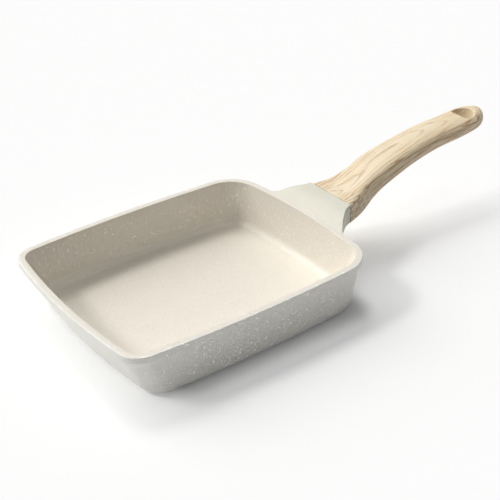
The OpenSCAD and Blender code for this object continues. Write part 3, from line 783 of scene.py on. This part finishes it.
def speckledCoat():
    # flecks are flat mirrors like mica, one in each cell whose number passes the empty share: 1 within the
    # core, 0 beyond the radius, leaning by tilt * (random - (0.5, 0.5, 0.5 - settled))
    material, flow = newMaterial("speckled_coat")
    place = objectPlace(flow)
    inside = flow.add("Attribute", {}, "Fac", attribute_name="inside")
    cloud = flow.noise(place, coat["cloudScale"])
    mottle = flow.noise(place, coat["mottleScale"])
    tone = (cloud - 0.5) * coat["cloudTone"] + (mottle - 0.5) * coat["mottleTone"] + coat["overallTone"]
    base = inside.mix(linear(*coat["outside"]), linear(*coat["inside"]))
    base = tone.mix(base, linear(*coat["dark"]))
    normal = flow.add("TexCoord", {}, "Normal")
    # flecks show in full outside, less on the inner walls and the end walls, least on the floor
    height = flow.add("SeparateXYZ", {"Vector": place}, "Z")
    walls = height.ramp(*coat["floorEnd"]) * (1 - height.ramp(*coat["rimStart"]))
    within = walls * (coat["fleckInside"] - coat["fleckFloor"]) + coat["fleckFloor"]
    ends = flow.add("SeparateXYZ", {"Vector": normal}).size().ramp(*coat["endFacing"])
    showing = (1 - inside * (1 - within)) * (1 - ends * (1 - coat["fleckEnds"]))
    fleck = None
    for scale, radius, empty, strength, shift in coat["flecks"]:
        moved = objectPlace(flow, move=(shift, shift * 0.7, shift * 0.3))
        cell = flow.add("TexVoronoi", {"Vector": moved, "Scale": scale}, "Distance", feature="F1")
        number = flow.add("SeparateColor", {"Color": cell.out("Color")})
        mask = (1 - cell.ramp(radius * coat["fleckCore"], radius)) * number.ramp(empty, empty + 0.02)
        mask = mask * strength * showing
        lean = flow.add("TexWhiteNoise", {"Vector": cell.out("Position")}, "Color")
        lean = flow.vector("SUBTRACT", {0: lean, 1: (0.5, 0.5, 0.5 - coat["settled"])})
        lean = flow.vector("SCALE", {0: lean, "Scale": mask.maths("GREATER_THAN", mask, 0.02) * coat["tilt"]})
        normal = flow.vector("ADD", {0: normal, 1: lean})
        fleck = mask if fleck is None else fleck.most(mask)
    normal = flow.vector("NORMALIZE", {0: normal})
    colour = fleck.mix(base, linear(*coat["fleck"]))
    height = flow.noise(place, coat["grainScale"], 2) * 0.4 + flow.noise(place, coat["rippleScale"], 2) * 0.6
    bump = flow.bump(height, coat["bumpStrength"], coat["bumpDepth"], Normal=normal)
    rough = fleck * (coat["fleckRoughness"] - coat["roughness"]) + varied(cloud, coat["roughness"])
    finishMaterial(flow, {
        "Base Color": colour, "Metallic": fleck, "Roughness": rough, "IOR": paintIor, "Normal": bump})
    return material


enamel = {
    "colour": (222, 220, 207), "shade": (205, 203, 188), "shadeShare": 0.25, "cloud": (0.3, 0.8),
    "cloudScale": 45, "peelScale": 900, "roughness": 0.46, "bumpStrength": 0.05, "bumpDepth": 0.0002,
}


def neckEnamel():
    # satin paint: two close tones mixed by a cloud, with fine orange peel
    material, flow = newMaterial("neck_enamel")
    place = objectPlace(flow)
    cloud = flow.noise(place, enamel["cloudScale"], 4)
    shade = cloud.ramp(*enamel["cloud"]) * enamel["shadeShare"]
    colour = shade.mix(linear(*enamel["colour"]), linear(*enamel["shade"]))
    bump = flow.bump(flow.noise(place, enamel["peelScale"]), enamel["bumpStrength"], enamel["bumpDepth"])
    rough = varied(cloud, enamel["roughness"])
    finishMaterial(flow, {"Base Color": colour, "Roughness": rough, "IOR": paintIor, "Normal": bump})
    return material


# lengths in metres, scales in patterns per metre; a share draws a pattern out along the grain by 1 / share
wood = {
    "pale": (243, 230, 203), "warm": (234, 214, 178), "line": (186, 134, 80), "flankLine": (154, 101, 53),
    "pore": (128, 92, 58), "roughness": 0.5, "bumpStrength": 0.2, "bumpDepth": 0.0001,
    # the rings' axis: how far below and beside the grip's middle line, and how fast rings widen along it
    "pith": 0.0105, "aside": 0.0015, "tilt": 0.052, "ringWidth": 0.0013,
    # share, scale, detail, roughness and reach of the rings' wander
    "wander": ((0.16, 55, 1.5, 0.45, 0.0062), (0.05, 300, 2, 0.5, 0.0006)),
    # scale and reach of the change from ring to ring; where late wood rises and falls within one
    "uneven": (0.45, 0.9), "lateRise": (0.66, 0.90), "lateFall": (0.91, 1),
    # share, scale, detail and roughness
    "streak": (0.03, 520, 3, 0.6), "fine": (0.035, 2300, 3, 0.65), "patch": (0.16, 90, 3, 0.55),
    "vein": (0.02, 430, 1.5, 0.5),
    # where the flanks begin, as |side| / distance; the tones' ramp; veins; the pores' ramp
    "flank": (0.2, 0.66), "toneRamp": (0.35, 0.68), "veinWidth": (0.015, 0.05), "veinShare": 0.6,
    "poreRamp": (0.52, 0.66),
}


def drawnOut(flow, grain, share, scale, detail, rough):
    # noise on (x * share, y, z) of the grain's frame
    coords = flow.add("Mapping", {"Vector": grain, "Scale": (share, 1, 1)})
    return flow.noise(coords, scale, detail, rough)


def ashWood():
    # growth rings are cones round an axis below the grip, so the top shows pointed arches:
    # layer = (distance from the axis + tilt * x + wander) / ring width, with late wood last in each
    material, flow = newMaterial("ash_wood")
    grain = flow.add("Attribute", {}, "Vector", attribute_name="grain")
    along = flow.add("SeparateXYZ", {"Vector": grain})
    side, below = along.out("Y") + wood["aside"], along.out("Z") + wood["pith"]
    slow, quick = ((drawnOut(flow, grain, *values) - 0.5) * reach for *values, reach in wood["wander"])
    radius = (side * side + below * below) ** 0.5
    layer = (radius + along * wood["tilt"] + (slow + quick)) / wood["ringWidth"]
    unevenScale, unevenReach = wood["uneven"]
    layer = layer + flow.noise(flow.add("CombineXYZ", {"X": layer}), unevenScale, 1) * unevenReach
    phase, number = layer.maths("FRACT", layer), layer.maths("FLOOR", layer)
    weight = flow.add("TexWhiteNoise", {"W": number}, "Value", noise_dimensions="1D")
    flank = (side.size() / radius).ramp(*wood["flank"])
    late = phase.ramp(*wood["lateRise"]) * (1 - phase.ramp(*wood["lateFall"]))
    late = late * (weight * 0.5 + 0.5) * (flank * 0.5 + 0.5)
    streak, fine, patch = (drawnOut(flow, grain, *wood[name]) for name in ("streak", "fine", "patch"))
    base = (patch * 0.7 + streak * 0.3).ramp(*wood["toneRamp"]).mix(linear(*wood["pale"]), linear(*wood["warm"]))
    # veins lie where a drawn-out noise passes its middle value
    vein = (drawnOut(flow, grain, *wood["vein"]) - 0.5).size()
    late = late.most((1 - vein.ramp(*wood["veinWidth"])) * flank * wood["veinShare"])
    drawing = flank.mix(linear(*wood["line"]), linear(*wood["flankLine"]))
    lined = (late * (streak.ramp(0.3, 0.6) * 0.6 + 0.4)).mix(base, drawing)
    pores = fine.ramp(*wood["poreRamp"]) * (late * 0.6 + flank * 0.08 + 0.14)
    colour = pores.mix(lined, linear(*wood["pore"]))
    bump = flow.bump(1 - (late * 0.4 + pores * 0.8), wood["bumpStrength"], wood["bumpDepth"])
    rough = pores * 0.15 + (wood["roughness"] - 0.03)
    finishMaterial(flow, {"Base Color": colour, "Roughness": rough, "IOR": paintIor, "Normal": bump})
    return material


# direction of the marks, bright tone and roughness of each kind
steel = {
    "plate_steel": ((0.05, 1, 1), (214, 214, 214), 0.32), "zinc_steel": ((1, 1, 0.1), (206, 208, 212), 0.36),
    "dull": (168, 169, 172), "markScale": 800, "cloudScale": 90, "bumpStrength": 0.12, "bumpDepth": 0.00005,
}


def brushedSteel(name):
    # rolling or turning marks drawn out along one direction, with faint clouds
    material, flow = newMaterial(name)
    scale, tint, roughness = steel[name]
    marks = flow.noise(objectPlace(flow, scale), steel["markScale"], 4, 0.6)
    cloud = flow.noise(objectPlace(flow), steel["cloudScale"])
    colour = ((marks * 0.6 + cloud * 0.4 - 0.3) / 0.4).mix(linear(*steel["dull"]), linear(*tint))
    bump = flow.bump(marks, steel["bumpStrength"], steel["bumpDepth"])
    rough = marks * 0.14 + cloud * 0.1 + (roughness - 0.12)
    finishMaterial(flow, {"Base Color": colour, "Metallic": 1, "Roughness": rough, "Normal": bump})
    return material


def markInside(obj):
    # 1 on the inner walls and the floor, 0 outside: the middle of the wall parts the two skins at each height
    x, y, z = vertexPlaces(obj.data)
    angle = np.arctan2(y, x)
    reach = []
    for share in (0, 1):
        ring = panOutline(pan["bandStep"] + pan["wall"] * pan["markMiddle"], share)
        turn = np.arctan2(ring[:, 1], ring[:, 0])
        order = np.argsort(turn)
        reach.append(np.interp(angle, turn[order], np.hypot(*ring[order].T), period=2 * np.pi))
    split = blend(reach[0], reach[1], np.clip(1 - z / bandZ, 0, 1))
    # the rim's level top belongs to the inside, up to the rounding of its outer edge
    topStart, topRise = pan["markTop"]
    onTop = np.clip((z - pan["height"] + topStart) / topRise, 0, 1) * (pan["bandStep"] + pan["wall"] * 0.5)
    value = eased((split + onTop - np.hypot(x, y)) / pan["markBlur"]) * (z > pan["markFloor"])
    layer = obj.data.attributes.new("inside", "FLOAT", "POINT")
    layer.data.foreach_set("value", value.astype(np.float32))


panPiece = buildPan()
markInside(panPiece)
print("pan built")
basePiece, coverPiece = buildNeckBase(), buildNeckCover()
print("neck built")
gripPiece = buildGrip()
grainCoordinates(gripPiece)
print("grip built")

coatPaint, neckPaint, woodPaint = speckledCoat(), neckEnamel(), ashWood()
plateSteel, zincSteel = brushedSteel("plate_steel"), brushedSteel("zinc_steel")
for piece, node, paint, slot in (
    (panPiece, "pan_body", coatPaint, "speckled_coat"), (basePiece, "neck_base", neckPaint, "neck_enamel"),
    (coverPiece, "neck_cover", neckPaint, "neck_enamel"), (gripPiece, "handle_grip", woodPaint, "ash_wood"),
):
    shadeSmooth(piece)
    piece.data.materials.clear()
    piece.data.materials.append(paint)
    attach(piece, "root")
    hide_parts(node)
for node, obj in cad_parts.items():
    if node in ("pan_body", "neck_base", "neck_cover", "handle_grip"):
        continue
    obj.data.materials.clear()
    obj.data.materials.append(plateSteel if node == "induction_plate" else zincSteel)
print("materials set")

studio = {
    "floor": (249, 249, 248), "floorSeen": (225, 226, 227), "backdrop": (0.985, 0.985, 0.98),
    "floorRings": (0.05, 0.5, 6), "floorPoints": 96, "floorDrop": 0.0001,
    # the floor's glow as the camera sees it, close to the pan and from the reach outwards; the weaker glow close
    # to the pan is painted shade round its foot
    "footShadeLift": 0.075, "liftFar": 0.28, "footShadeReach": 0.016,
    # further out the glow makes up for a darker tone, so painted light lifts the cast shadows there and they
    # weaken with distance
    "floorOuter": (185, 186, 187), "shadowFillLift": 0.249, "shadowFillReach": (0.05, 0.14),
    # half sizes, middle and corner of the foot that the painted shade and painted light are measured from, in
    # metres
    "foot": (0.067, 0.074), "footX": 0.012, "footCorner": 0.01,
    "worldStrength": 0.108, "worldColour": (0.97, 0.985, 1),
    # name: where the light comes from, how wide it is in degrees, strength, colour
    "lamps": {
        "key": ((-0.9, 0.55, 1), 12, 0.99, (1, 0.985, 0.955)),
        "side": ((0.2, 0.62, 1), 20, 0.698, (1, 0.985, 0.955)),
        "back": ((-0.5, 1.35, 1), 45, 1.62, (1, 0.99, 0.97)),
        "top": ((0, 0, 1), 40, 0.375, (1, 0.99, 0.97)),
    },
}


def seenDirectly(flow):
    # 1 for what the camera sees, also in a mirror or through glass
    path = flow.add("LightPath", {})
    return path.most(path.out("Is Glossy Ray").most(path.out("Is Transmission Ray")))


def buildFloor():
    # a pale card as a flat disc; its glow as the camera sees it grows with the distance from the pan's foot,
    # a rounded rectangle: hypot(max(|x| - hx, 0), max(|y| - hy, 0)) - corner; the weak glow at the foot is
    # painted shade, and the extra glow further out is painted light that lifts the cast shadows
    mesh = bpy.data.meshes.new("studio_floor")
    count = studio["floorPoints"]
    a = roundTurn(count)
    radii = studio["floorRings"]
    rings = [points(r * np.cos(a), r * np.sin(a), -studio["floorDrop"]) for r in radii]
    faces = gridFaces(len(radii), count, True) + [list(range(count))[::-1]]
    mesh.from_pydata(np.concatenate(rings).tolist(), [], faces)
    material, flow = newMaterial("studio_floor")
    split = flow.add("SeparateXYZ", {"Vector": objectPlace(flow)})
    corner, (halfX, halfY) = studio["footCorner"], studio["foot"]
    outX = ((split - studio["footX"]).size() - (halfX - corner)).most(0)
    outY = (split.out("Y").size() - (halfY - corner)).most(0)
    away = (outX * outX + outY * outY) ** 0.5 - corner
    # painted shade: the glow is least at the pan's foot and grows over the reach, so the card is darker round the
    # pan
    glow = away.ramp(0, studio["footShadeReach"]) * (studio["liftFar"] - studio["footShadeLift"]) + studio["footShadeLift"]
    # painted light: from this reach outwards a darker tone and more glow lift the floor's cast shadows
    outer = away.ramp(*studio["shadowFillReach"])
    glow = glow + outer * studio["shadowFillLift"]
    seen = outer.mix(linear(*studio["floorSeen"]), linear(*studio["floorOuter"]))
    tone = seenDirectly(flow).mix(linear(*studio["floor"]), seen)
    card = flow.add("BsdfDiffuse", {"Color": tone})
    lift = flow.add("Emission", {"Color": seenDirectly(flow) * glow, "Strength": 1})
    flow.add("OutputMaterial", {"Surface": flow.add("AddShader", {0: card, 1: lift})})
    mesh.materials.append(material)
    floor = addObject("studio_floor", mesh)


def buildLight():
    # a weak even sky that looks like the backdrop to the camera, and the lamps
    world = bpy.data.worlds.new("studio")
    bpy.context.scene.world = world
    world.use_nodes = True
    world.node_tree.nodes.clear()
    sky = Flow(world.node_tree)
    strength = seenDirectly(sky) * (1 - studio["worldStrength"]) + studio["worldStrength"]
    colour = seenDirectly(sky).mix((*studio["worldColour"], 1), (*studio["backdrop"], 1))
    sky.add("OutputWorld", {"Surface": sky.add("Background", {"Color": colour, "Strength": strength})})

    for name, (source, width, strength, colour) in studio["lamps"].items():
        lamp = bpy.data.lights.new(name, "SUN")
        lamp.energy = strength
        lamp.angle = math.radians(width)
        lamp.color = colour
        holder = addObject(name, lamp)
        holder.rotation_mode = "QUATERNION"
        holder.rotation_quaternion = Vector(source).to_track_quat("Z", "Y")


# worked out from rim, foot and grip: focal length in pixels, eye in millimetres, angles in radians
view = {
    "focal": 1105.448417, "eye": (-317.807581, -517.072501, 401.815768),
    "yaw": 0.957949, "pitch": 0.540293, "roll": -0.035332, "frameSize": 500, "sensor": 36, "clip": (0.01, 50),
}


def buildCamera():
    # looks along (cos yaw cos pitch, sin yaw cos pitch, -sin pitch), rolled by mixing right and up
    yaw, pitch, roll = view["yaw"], view["pitch"], view["roll"]
    ahead = Vector((math.cos(yaw) * math.cos(pitch), math.sin(yaw) * math.cos(pitch), -math.sin(pitch)))
    right = Vector((math.sin(yaw), -math.cos(yaw), 0))
    up = right.cross(ahead)
    c, s = math.cos(roll), math.sin(roll)
    right, up = c * right + s * up, -s * right + c * up
    data = bpy.data.cameras.new("camera")
    data.sensor_width = view["sensor"]
    data.lens = view["focal"] * view["sensor"] / view["frameSize"]
    data.clip_start, data.clip_end = view["clip"]
    camera = addObject("camera", data)
    turn = Matrix((right, up, -ahead)).transposed().to_4x4()
    camera.matrix_world = Matrix.Translation(Vector(view["eye"]) / 1000) @ turn
    bpy.context.scene.camera = camera


buildFloor()
buildLight()
buildCamera()
bpy.context.scene.view_settings.view_transform = "Standard"
print("studio and camera set")
